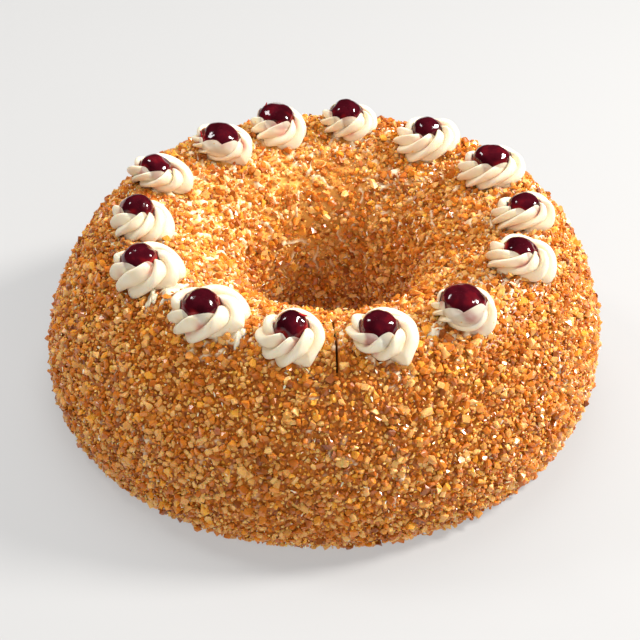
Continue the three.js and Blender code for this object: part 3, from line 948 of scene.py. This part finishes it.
def makeCherry(spot, material, draw):
    shape = bmesh.new()
    ball = bmesh.ops.create_icosphere(shape, subdivisions=5, radius=1)["verts"]
    shape.verts.index_update()
    dents = []
    for _ in range(cherries["dents"]):
        bearing = draw.uniform(0, 2 * math.pi)
        tip = draw.uniform(0.2, 1.1)
        deep = draw.uniform(0.2, 1.0) * cherries["dent"]
        dents.append((wayTo(bearing, tip), deep, draw.uniform(0.22, 0.42)))
    drift = Vector((draw.uniform(0, 50), draw.uniform(0, 50), draw.uniform(0, 50)))
    half = Vector(spot["cherryHalf"].tolist())
    turned = spot["place"].to_3x3()
    glowBelow = {}
    for vertex in ball:
        way = vertex.co.normalized()
        size = cherries["size"] + cherries["uneven"] * noise.noise(way * 1.3 + drift)
        size += cherries["wrinkle"] * noise.noise(way * 4 + drift)
        for middle, depth, wide in dents:
            size -= depth * math.exp(-((way - middle).length / wide) ** 2)
        # painted light: red glow painted on the lower side, where light shines through
        glowBelow[vertex.index] = float(smooth(0.6, -0.15, way.z + 0.5 * noise.noise(way * 1.8 + drift)))
        vertex.co = spot["cherry"] + turned @ Vector((a * b for a, b in zip(way * size, half)))
    if spot["number"] in cherries["flaps"]:
        flake, lay, way = addFlap(shape, *(math.radians(a) for a in cherries["flaps"][spot["number"]]))
        root = Vector((a * b for a, b in zip(way, half)))
        for vertex in flake:
            bent = Vector((a * b for a, b in zip(vertex.co, cherries["flapSize"])))
            bent.z += cherries["flapCurl"] * vertex.co.x ** 2
            vertex.co = spot["cherry"] + turned @ (root + lay @ bent)
    shape.verts.index_update()
    name = f"pitted_cherry_{spot['number']:02d}"
    mesh = bpy.data.meshes.new(name)
    shape.to_mesh(mesh)
    shape.free()
    mesh.shade_smooth()
    storeValues(mesh, "glowBelow", [glowBelow.get(i, 1) for i in range(len(mesh.vertices))])
    return meshPiece(name, mesh, material)


cherryFlesh = cherryMaterial()
cherryDraw = random.Random(cherries["seed"])
for spot in spots:
    piece = makeCherry(spot, cherryFlesh, cherryDraw)
    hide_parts(f"cherry_{spot['number']:02d}")
print("cherries:", len(spots))


def makeSmears(material):
    places, faces = [], []
    for bearing, reach, length, width, turn in smears["places"]:
        start = onRing(reach * mm, topHeight(reach * mm), math.radians(bearing))
        place = standingPlace(float(start[0]), float(start[1]), 3 * mm)
        lay = math.radians(bearing + turn)
        inward = np.linspace(1, 0, smears["rings"])
        share, angle = np.meshgrid(inward, evenTurn(smears["around"]), indexing="ij")
        ragged = 1 + 0.28 * np.sin(3 * angle + bearing) + 0.16 * np.sin(7 * angle + 2 * bearing)
        x = share * ragged * length * mm * np.cos(angle)
        y = share * ragged * width * mm * np.sin(angle)
        flat = np.stack([x * math.cos(lay) - y * math.sin(lay), x * math.sin(lay) + y * math.cos(lay),
                         np.zeros_like(x)], axis=-1).reshape(-1, 3)
        spread = flat + np.array(place.translation)
        lumps = 0.7 + 0.7 * fieldNoise(spread, smears["lumpSize"], 6)
        spread[:, 2] = surfaceHeight(spread[:, 0], spread[:, 1]) - smears["sunk"]
        spread[:, 2] += (smears["height"] + smears["sunk"]) * lumps * (1 - share.ravel() ** 2) ** 0.6
        faces += (gridFaces(smears["rings"], smears["around"]) + len(places)).tolist()
        places += spread.tolist()
    mesh = bpy.data.meshes.new("cream_smears")
    mesh.from_pydata(places, [], faces)
    mesh.shade_smooth()
    tidy = bmesh.new()
    tidy.from_mesh(mesh)
    bmesh.ops.remove_doubles(tidy, verts=tidy.verts, dist=0.01 * mm)
    bmesh.ops.holes_fill(tidy, edges=tidy.edges)
    bmesh.ops.recalc_face_normals(tidy, faces=tidy.faces)
    tidy.to_mesh(mesh)
    tidy.free()
    return meshPiece("cream_smears", mesh, material)


makeSmears(buttercream)
print("smears:", len(smears["places"]))

# Stage: a pale floor that glows a little, as a light table does, lamps round the cake and the camera;
# the sky and the big lamps don't show in what is glossy
stage = {
    "distance": 800 * mm,
    "aimHeight": 50 * mm,
    "elevation": 35.32,
    "dip": 1.066,
    "roll": 0.64,
    "lens": 95.8,
    "sensor": 36,
    "floorHalf": 6,
    "floorColour": (0.23, 0.229, 0.227, 1),
    "floorGlow": 0.38,
    "glowColour": (1, 0.995, 0.985, 1),
    "skyStrength": 0.27,
    "lamps": [  # name, place, width, watts, whether it shows in what is glossy, colour
        ("key", (1.0, 0.15, 0.85), 0.32, 27, True, (1, 0.97, 0.93)),
        ("spark", (-0.7, 0.3, 1.0), 0.3, 4, True, (1, 1, 1)),
        ("top", (0, 0.4, 1.3), 1.0, 11, False, (1, 1, 1)),
        ("fill", (0.2, -1.1, 0.8), 0.9, 7, False, (1, 1, 1)),
    ],
}


def areaLight(name, place, size, power, glints, colour):
    light = bpy.data.lights.new(name, "AREA")
    light.shape = "DISK"
    light.size = size
    light.energy = power
    light.color = colour
    lamp = bpy.data.objects.new(name, light)
    bpy.context.scene.collection.objects.link(lamp)
    lamp.location = place
    aim = Vector((0, 0, stage["aimHeight"])) - Vector(place)
    lamp.rotation_euler = aim.to_track_quat("-Z", "Y").to_euler()
    lamp.visible_glossy = glints


def makeStage():
    s = stage
    mesh = bpy.data.meshes.new("floor")
    wide = s["floorHalf"]
    around = [(-wide, -wide, 0), (wide, -wide, 0), (wide, wide, 0), (-wide, wide, 0)]
    mesh.from_pydata(around, [], [(0, 1, 2, 3)])
    floor = bpy.data.objects.new("floor", mesh)
    bpy.context.scene.collection.objects.link(floor)
    paleFloor = newMaterial("paleFloor", Roughness=0.8, Base_Color=s["floorColour"],
                            Emission_Color=s["glowColour"], Emission_Strength=s["floorGlow"])[0]
    mesh.materials.append(paleFloor)

    world = bpy.data.worlds.new("softStudio")
    bpy.context.scene.world = world
    world.use_nodes = True
    world.node_tree.nodes["Background"].inputs["Color"].default_value = (1, 1, 1, 1)
    world.node_tree.nodes["Background"].inputs["Strength"].default_value = s["skyStrength"]
    world.cycles_visibility.glossy = False
    for lamp in s["lamps"]:
        areaLight(*lamp)
    bpy.context.scene.view_settings.view_transform = "Standard"

    lift = math.radians(s["elevation"])
    back = Vector((0, -math.cos(lift), math.sin(lift)))
    place = Vector((footCentre.x, footCentre.y, s["aimHeight"])) + back * s["distance"]
    view = bpy.data.cameras.new("camera")
    view.lens = s["lens"]
    view.sensor_width = s["sensor"]
    camera = bpy.data.objects.new("camera", view)
    bpy.context.scene.collection.objects.link(camera)
    tip = math.radians(90 - s["elevation"] - s["dip"])
    camera.matrix_world = (Matrix.Translation(place) @ Matrix.Rotation(tip, 4, "X")
                           @ Matrix.Rotation(math.radians(s["roll"]), 4, "Z"))
    bpy.context.scene.camera = camera


makeStage()
